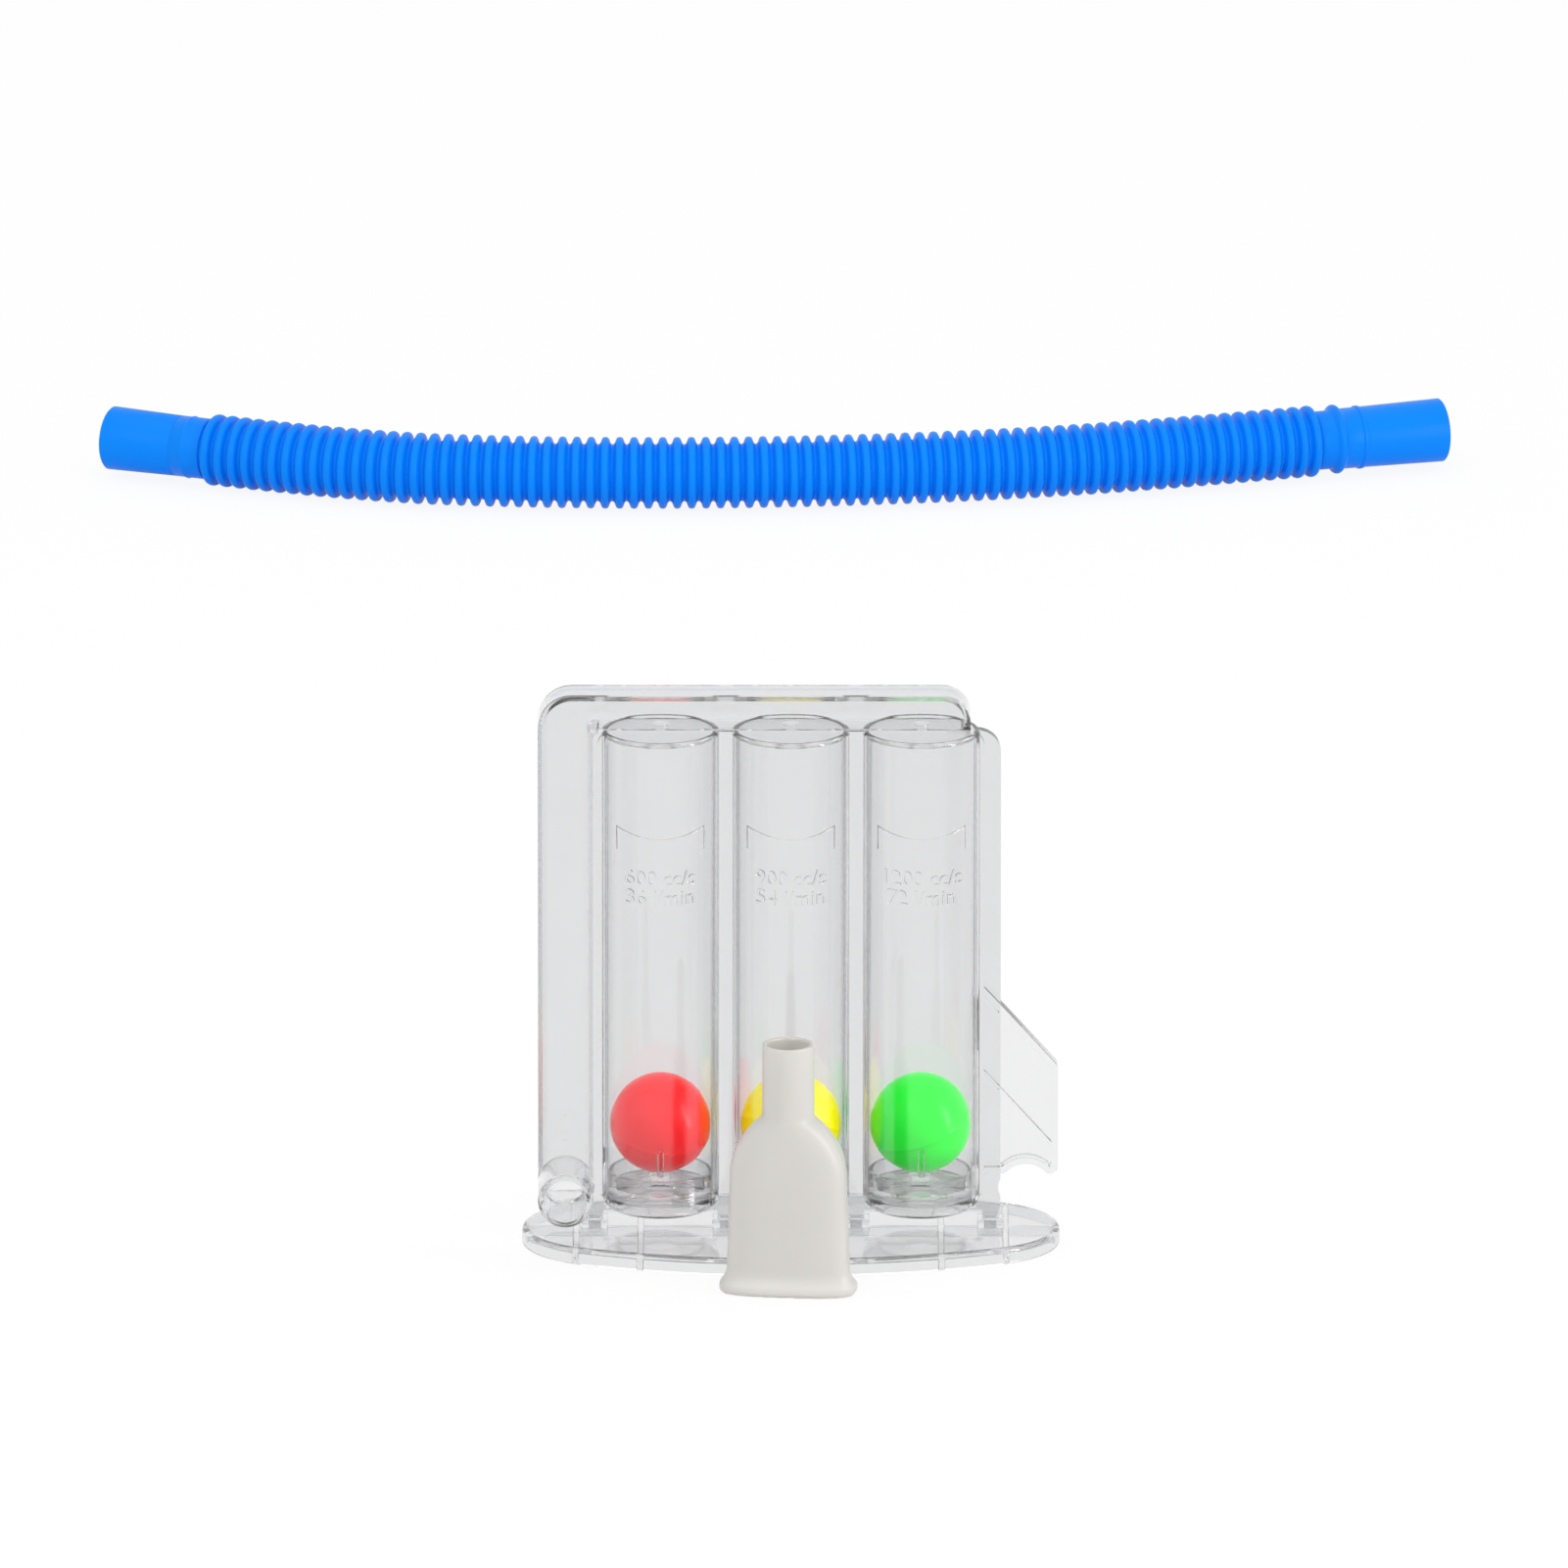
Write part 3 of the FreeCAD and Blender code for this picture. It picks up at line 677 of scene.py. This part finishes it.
# %% [markdown]
# ## The mouthpiece
# The mouthpiece is soft milky polyethylene, and its corners are all gently rounded. Its CAD form
# is exact but crisp, so a copy is rebuilt as a fine even grid, and a smoothing pass then wears its
# edges round, as fingers would in clay.

# %% Mouthpiece
MOUTHPIECE_GRID = 0.45
MOUTHPIECE_WEAR = 0.5
MOUTHPIECE_WEAR_STEPS = 4
MOUTHPIECE_SHARP_ANGLE = 80

mouthpiece = copy_of("mouthpiece", "mouthpiece_soft")
add_modifier(mouthpiece, "REMESH", mode="VOXEL", voxel_size=MOUTHPIECE_GRID * MM)
add_modifier(mouthpiece, "SMOOTH", factor=MOUTHPIECE_WEAR, iterations=MOUTHPIECE_WEAR_STEPS)
smooth(mouthpiece, MOUTHPIECE_SHARP_ANGLE)
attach(mouthpiece, "mouthpiece")
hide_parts("mouthpiece")
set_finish(mouthpiece, "milky_plastic")
print("Mouthpiece faces:", len(mouthpiece.data.polygons))

# %% [markdown]
# ## The studio
# Clear plastic has no look of its own: it shows what stands round it. Product photographers put it
# on white and keep the room darker. Here the floor and the world are white where they are seen
# directly, in a gloss or through the plastic, and for all other light the world is a little darker.

# %% Material helpers
def new_material(name):
    """An empty node material."""
    material = bpy.data.materials.new(name)
    material.use_nodes = True
    material.node_tree.nodes.clear()
    return material


def add_node(material, kind, **inputs):
    """A new node with its inputs set; an underscore stands for the space in an input's name."""
    node = material.node_tree.nodes.new(kind)
    for name, value in inputs.items():
        node.inputs[name.replace("_", " ")].default_value = value
    return node


def link(material, source, target):
    material.node_tree.links.new(source, target)


def background_rays(tree):
    """1 for what the camera sees, straight, mirrored or through clear plastic, and 0 otherwise."""
    paths = tree.nodes.new("ShaderNodeLightPath")
    mirrored = tree.nodes.new("ShaderNodeMath")
    mirrored.operation = "MAXIMUM"
    through = tree.nodes.new("ShaderNodeMath")
    through.operation = "MAXIMUM"
    tree.links.new(paths.outputs["Is Camera Ray"], mirrored.inputs[0])
    tree.links.new(paths.outputs["Is Glossy Ray"], mirrored.inputs[1])
    tree.links.new(mirrored.outputs[0], through.inputs[0])
    tree.links.new(paths.outputs["Is Transmission Ray"], through.inputs[1])
    return through.outputs[0]


# %% The floor
FLOOR_SIZE = 60.0
FLOOR_DROP = 0.2
FLOOR_COLOUR = (0.9, 0.9, 0.9, 1)
FLOOR_GLOW = 1.0
GLOW_SHARE = 0.9
WHITE = (1, 1, 1, 1)

floor_paint = new_material("white_table")
diffuse = add_node(floor_paint, "ShaderNodeBsdfDiffuse", Color=FLOOR_COLOUR)
glow = add_node(floor_paint, "ShaderNodeEmission", Color=WHITE, Strength=FLOOR_GLOW)
both = add_node(floor_paint, "ShaderNodeMixShader")
share = add_node(floor_paint, "ShaderNodeMath")
share.operation = "MULTIPLY"
share.inputs[1].default_value = GLOW_SHARE
out = add_node(floor_paint, "ShaderNodeOutputMaterial")
link(floor_paint, background_rays(floor_paint.node_tree), share.inputs[0])
link(floor_paint, share.outputs[0], both.inputs["Fac"])
link(floor_paint, diffuse.outputs[0], both.inputs[1])
link(floor_paint, glow.outputs[0], both.inputs[2])
link(floor_paint, both.outputs[0], out.inputs["Surface"])

bpy.ops.mesh.primitive_plane_add(size=FLOOR_SIZE, location=(0, 0, -FLOOR_DROP * MM))
floor = bpy.context.object
floor.name = "table_top"
floor.data.materials.append(floor_paint)
floor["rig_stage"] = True

# %% The world
ROOM_LEVEL = 0.85
BACKDROP_LEVEL = 1.0

world = bpy.data.worlds.new("studio")
bpy.context.scene.world = world
world.use_nodes = True
tree = world.node_tree
tree.nodes.clear()
room = tree.nodes.new("ShaderNodeBackground")
room.inputs["Color"].default_value = WHITE
room.inputs["Strength"].default_value = ROOM_LEVEL
backdrop = tree.nodes.new("ShaderNodeBackground")
backdrop.inputs["Color"].default_value = WHITE
backdrop.inputs["Strength"].default_value = BACKDROP_LEVEL
pick_one = tree.nodes.new("ShaderNodeMixShader")
world_out = tree.nodes.new("ShaderNodeOutputWorld")
tree.links.new(background_rays(tree), pick_one.inputs["Fac"])
tree.links.new(room.outputs[0], pick_one.inputs[1])
tree.links.new(backdrop.outputs[0], pick_one.inputs[2])
tree.links.new(pick_one.outputs[0], world_out.inputs["Surface"])

# %% [markdown]
# A large soft lamp lights the front from the left, a narrow strip on the right draws bright upright
# lines on the tubes, and a wide lamp overhead evens out the table.

# %% The lamps
BODY_MIDDLE = (0, 0, 0.07)
TABLE_MIDDLE = (0, 0.3, 0)


def soft_lamp(name, place, target, size, watts):
    """A rectangular area lamp that faces its target."""
    bpy.ops.object.light_add(type="AREA", location=place)
    lamp = bpy.context.object
    lamp.name = name
    lamp.data.shape = "RECTANGLE"
    lamp.data.size, lamp.data.size_y = size
    lamp.data.energy = watts
    lamp.rotation_euler = (Vector(target) - Vector(place)).to_track_quat("-Z", "Y").to_euler()


soft_lamp("key_lamp", (-0.9, -1.3, 1.5), BODY_MIDDLE, (1.8, 1.8), 10)
soft_lamp("side_strip", (1.1, -0.5, 0.45), BODY_MIDDLE, (0.18, 1.0), 6)
soft_lamp("top_lamp", (0, 0.4, 1.8), TABLE_MIDDLE, (1.4, 1.0), 4)
bpy.context.scene.view_settings.view_transform = "Standard"

# %% [markdown]
# ## The moulded surface
# Nothing on this object is painted, so every finish is the plastic's own: a colour that drifts a
# little where the melt flowed, a gloss that changes from place to place, a slow waviness from
# shrinkage and a fine grain from the mould's steel. One node group makes all four and every
# material on the object shares it.

# %% One node group for every plastic
FLOW_SCALE = 55.0
GRAIN_SCALE = 1400.0
NOISE_DETAIL = 2.0
WAVE_DEPTH = 0.6 * MM
GRAIN_DEPTH = 0.03 * MM
ROUGHNESS_SHARE = 0.5


def noise_in(group, coords, scale):
    """A noise of this scale over the piece's own coordinates."""
    noise = group.nodes.new("ShaderNodeTexNoise")
    noise.inputs["Scale"].default_value = scale
    noise.inputs["Detail"].default_value = NOISE_DETAIL
    group.links.new(coords.outputs["Object"], noise.inputs["Vector"])
    return noise


def make_surface_group():
    """Colour, roughness and normal of a moulded plastic, from the values that a material gives."""
    group = bpy.data.node_groups.new("moulded_surface", "ShaderNodeTree")
    sockets = group.interface
    sockets.new_socket("Colour", in_out="INPUT", socket_type="NodeSocketColor")
    for name in ("Colour Drift", "Roughness", "Roughness Drift", "Waviness", "Grain"):
        sockets.new_socket(name, in_out="INPUT", socket_type="NodeSocketFloat")
    sockets.new_socket("Colour", in_out="OUTPUT", socket_type="NodeSocketColor")
    sockets.new_socket("Roughness", in_out="OUTPUT", socket_type="NodeSocketFloat")
    sockets.new_socket("Normal", in_out="OUTPUT", socket_type="NodeSocketVector")
    new = group.nodes.new
    join = group.links.new
    given = new("NodeGroupInput")
    result = new("NodeGroupOutput")
    coords = new("ShaderNodeTexCoord")
    flow = noise_in(group, coords, FLOW_SCALE)
    grain = noise_in(group, coords, GRAIN_SCALE)

    centred = new("ShaderNodeMath")
    centred.operation = "SUBTRACT"
    centred.inputs[1].default_value = 0.5
    join(flow.outputs["Fac"], centred.inputs[0])

    brightness = new("ShaderNodeMath")
    brightness.operation = "MULTIPLY_ADD"
    brightness.inputs[2].default_value = 1.0
    join(centred.outputs[0], brightness.inputs[0])
    join(given.outputs["Colour Drift"], brightness.inputs[1])
    drifted = new("ShaderNodeHueSaturation")
    join(brightness.outputs[0], drifted.inputs["Value"])
    join(given.outputs["Colour"], drifted.inputs["Color"])
    join(drifted.outputs["Color"], result.inputs["Colour"])

    gloss = new("ShaderNodeMath")
    gloss.operation = "MULTIPLY_ADD"
    join(centred.outputs[0], gloss.inputs[0])
    join(given.outputs["Roughness Drift"], gloss.inputs[1])
    join(given.outputs["Roughness"], gloss.inputs[2])
    join(gloss.outputs[0], result.inputs["Roughness"])

    waves = new("ShaderNodeBump")
    waves.inputs["Distance"].default_value = WAVE_DEPTH
    join(given.outputs["Waviness"], waves.inputs["Strength"])
    join(flow.outputs["Fac"], waves.inputs["Height"])
    pores = new("ShaderNodeBump")
    pores.inputs["Distance"].default_value = GRAIN_DEPTH
    join(given.outputs["Grain"], pores.inputs["Strength"])
    join(grain.outputs["Fac"], pores.inputs["Height"])
    join(waves.outputs["Normal"], pores.inputs["Normal"])
    join(pores.outputs["Normal"], result.inputs["Normal"])
    return group


surface_group = make_surface_group()


def add_surface(material, plastic, roughness, drift, waviness, grain):
    """Lays the shared moulded surface on a material's plastic."""
    surface = material.node_tree.nodes.new("ShaderNodeGroup")
    surface.node_tree = surface_group
    surface.inputs["Colour Drift"].default_value = drift
    surface.inputs["Roughness"].default_value = roughness
    surface.inputs["Roughness Drift"].default_value = roughness * ROUGHNESS_SHARE
    surface.inputs["Waviness"].default_value = waviness
    surface.inputs["Grain"].default_value = grain
    link(material, surface.outputs["Colour"], plastic.inputs["Base Color"])
    link(material, surface.outputs["Roughness"], plastic.inputs["Roughness"])
    link(material, surface.outputs["Normal"], plastic.inputs["Normal"])
    return surface


# %% [markdown]
# ## Clear styrene
# The body and the stand are moulded in clear styrene, which bends light strongly (index near 1.6).
# Its tint turns greyer where a wall is seen edge-on: partly the longer path through the plastic,
# and partly painted shade that draws dark lines along the edges. A slight waviness from the mould
# keeps it from looking like cut glass.

# %% The clear plastic
STYRENE_IOR = 1.55
STYRENE_ROUGHNESS = 0.05
STYRENE_DRIFT = 0.03
STYRENE_WAVINESS = 0.03
STYRENE_GRAIN = 0.03
# How soon the greyer edge tint comes in; that tint is partly painted shade.
EDGE_BLEND = 0.25
SHADOW_TINT = (0.97, 0.97, 0.97, 1)
# The colour mix's first and second colour are its seventh and eighth input.
FIRST_COLOUR = 6
SECOND_COLOUR = 7
MIXED_COLOUR = 2


def clear_plastic(name, tint, edge_tint_and_painted_shade):
    """Clear styrene that takes one tint through its walls and a greyer one where a wall is seen
    edge-on, partly for the longer path and partly as painted edge shade.
    """
    material = new_material(name)
    plastic = add_node(
        material, "ShaderNodeBsdfPrincipled", IOR=STYRENE_IOR, Transmission_Weight=1.0
    )
    grazing = add_node(material, "ShaderNodeLayerWeight", Blend=EDGE_BLEND)
    colours = add_node(material, "ShaderNodeMix")
    colours.data_type = "RGBA"
    colours.inputs[FIRST_COLOUR].default_value = (*tint, 1)
    colours.inputs[SECOND_COLOUR].default_value = (*edge_tint_and_painted_shade, 1)
    surface = add_surface(
        material, plastic, STYRENE_ROUGHNESS, STYRENE_DRIFT, STYRENE_WAVINESS, STYRENE_GRAIN
    )
    passing = add_node(material, "ShaderNodeBsdfTransparent", Color=SHADOW_TINT)
    light_path = add_node(material, "ShaderNodeLightPath")
    shadow_mix = add_node(material, "ShaderNodeMixShader")
    output = add_node(material, "ShaderNodeOutputMaterial")
    # Partly painted shade: the tint darkens where a wall is seen edge-on, which draws dark edge lines.
    link(material, grazing.outputs["Facing"], colours.inputs[0])
    link(material, colours.outputs[MIXED_COLOUR], surface.inputs["Colour"])
    link(material, light_path.outputs["Is Shadow Ray"], shadow_mix.inputs["Fac"])
    link(material, plastic.outputs[0], shadow_mix.inputs[1])
    link(material, passing.outputs[0], shadow_mix.inputs[2])
    link(material, shadow_mix.outputs[0], output.inputs["Surface"])
    return material


# The second tint of each is the edge tint: partly absorption along the wall, partly painted edge shade.
finishes = {
    "clear_shell": clear_plastic("clear_shell_styrene", (0.86, 0.862, 0.867), (0.72, 0.72, 0.73)),
    "clear_base": clear_plastic("clear_stand_styrene", (0.81, 0.813, 0.82), (0.70, 0.70, 0.72)),
}

# %% [markdown]
# ## Coloured and milky plastics
# The balls are blown in glossy dyed polythene, the hose is drawn in a satin blue one, and the
# mouthpiece is moulded in an undyed grade that lets some light in and scatters it.

# %% Solid plastics
POLYTHENE_IOR = 1.5


def solid_plastic(name, colour, surface_values, specular, clearness=0.0, glow=0.0):
    """Dyed or milky polythene. Glow is painted light: the plastic gives off its own colour as a lamp
    would.
    """
    material = new_material(name)
    plastic = add_node(
        material,
        "ShaderNodeBsdfPrincipled",
        IOR=POLYTHENE_IOR,
        Specular_IOR_Level=specular,
        Transmission_Weight=clearness,
        Emission_Strength=glow,
    )
    surface = add_surface(material, plastic, **surface_values)
    surface.inputs["Colour"].default_value = (*colour, 1)
    # A glow above 0 is painted light: the surface colour is given off as light under any lamp.
    link(material, surface.outputs["Colour"], plastic.inputs["Emission Color"])
    output = add_node(material, "ShaderNodeOutputMaterial")
    link(material, plastic.outputs[0], output.inputs["Surface"])
    return material


BALL_SURFACE = {"roughness": 0.25, "drift": 0.05, "waviness": 0.03, "grain": 0.1}
BALL_SPECULAR = 0.2
# Painted glow: the balls give off their own colour, so they look lit from within under any lamp.
BALL_PAINTED_GLOW = 0.22
BALL_COLOURS = {
    "ball_red": (1.0, 0.004, 0.012),
    "ball_yellow": (1.0, 0.86, 0.0),
    "ball_green": (0.0, 1.0, 0.03),
}
for slot, colour in BALL_COLOURS.items():
    finishes[slot] = solid_plastic(slot + "_gloss", colour, BALL_SURFACE, BALL_SPECULAR, glow=BALL_PAINTED_GLOW)

MOUTHPIECE_SURFACE = {"roughness": 0.35, "drift": 0.04, "waviness": 0.1, "grain": 0.2}
finishes["milky_plastic"] = solid_plastic(
    "milky_mouthpiece", (0.81, 0.79, 0.75), MOUTHPIECE_SURFACE, specular=0.5, clearness=0.35
)

HOSE_SURFACE = {"roughness": 0.36, "drift": 0.08, "waviness": 0.05, "grain": 0.1}
finishes["hose_blue"] = solid_plastic(
    "hose_blue_satin", (0.0, 0.225, 0.88), HOSE_SURFACE, specular=0.1
)

# %% Putting the finishes on
for entry in frame["record"]["subparts"]:
    node = nodes[entry["node"]]
    node.data.materials.clear()
    node.data.materials.append(finishes[entry["material_slot"]])
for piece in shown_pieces():
    if piece.get("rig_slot"):
        piece.data.materials.clear()
        piece.data.materials.append(finishes[piece["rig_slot"]])

# %% [markdown]
# Light inside a clear wall is thrown from side to side many times before it comes out. With few
# bounces it would be given up on the way, and every edge would turn black. The glossy bounces are
# held at a middle number, which leaves the edges grey.

# %% Light bounces
cycles = bpy.context.scene.cycles
cycles.max_bounces = 40
cycles.glossy_bounces = 16
cycles.transmission_bounces = 32
cycles.transparent_max_bounces = 32
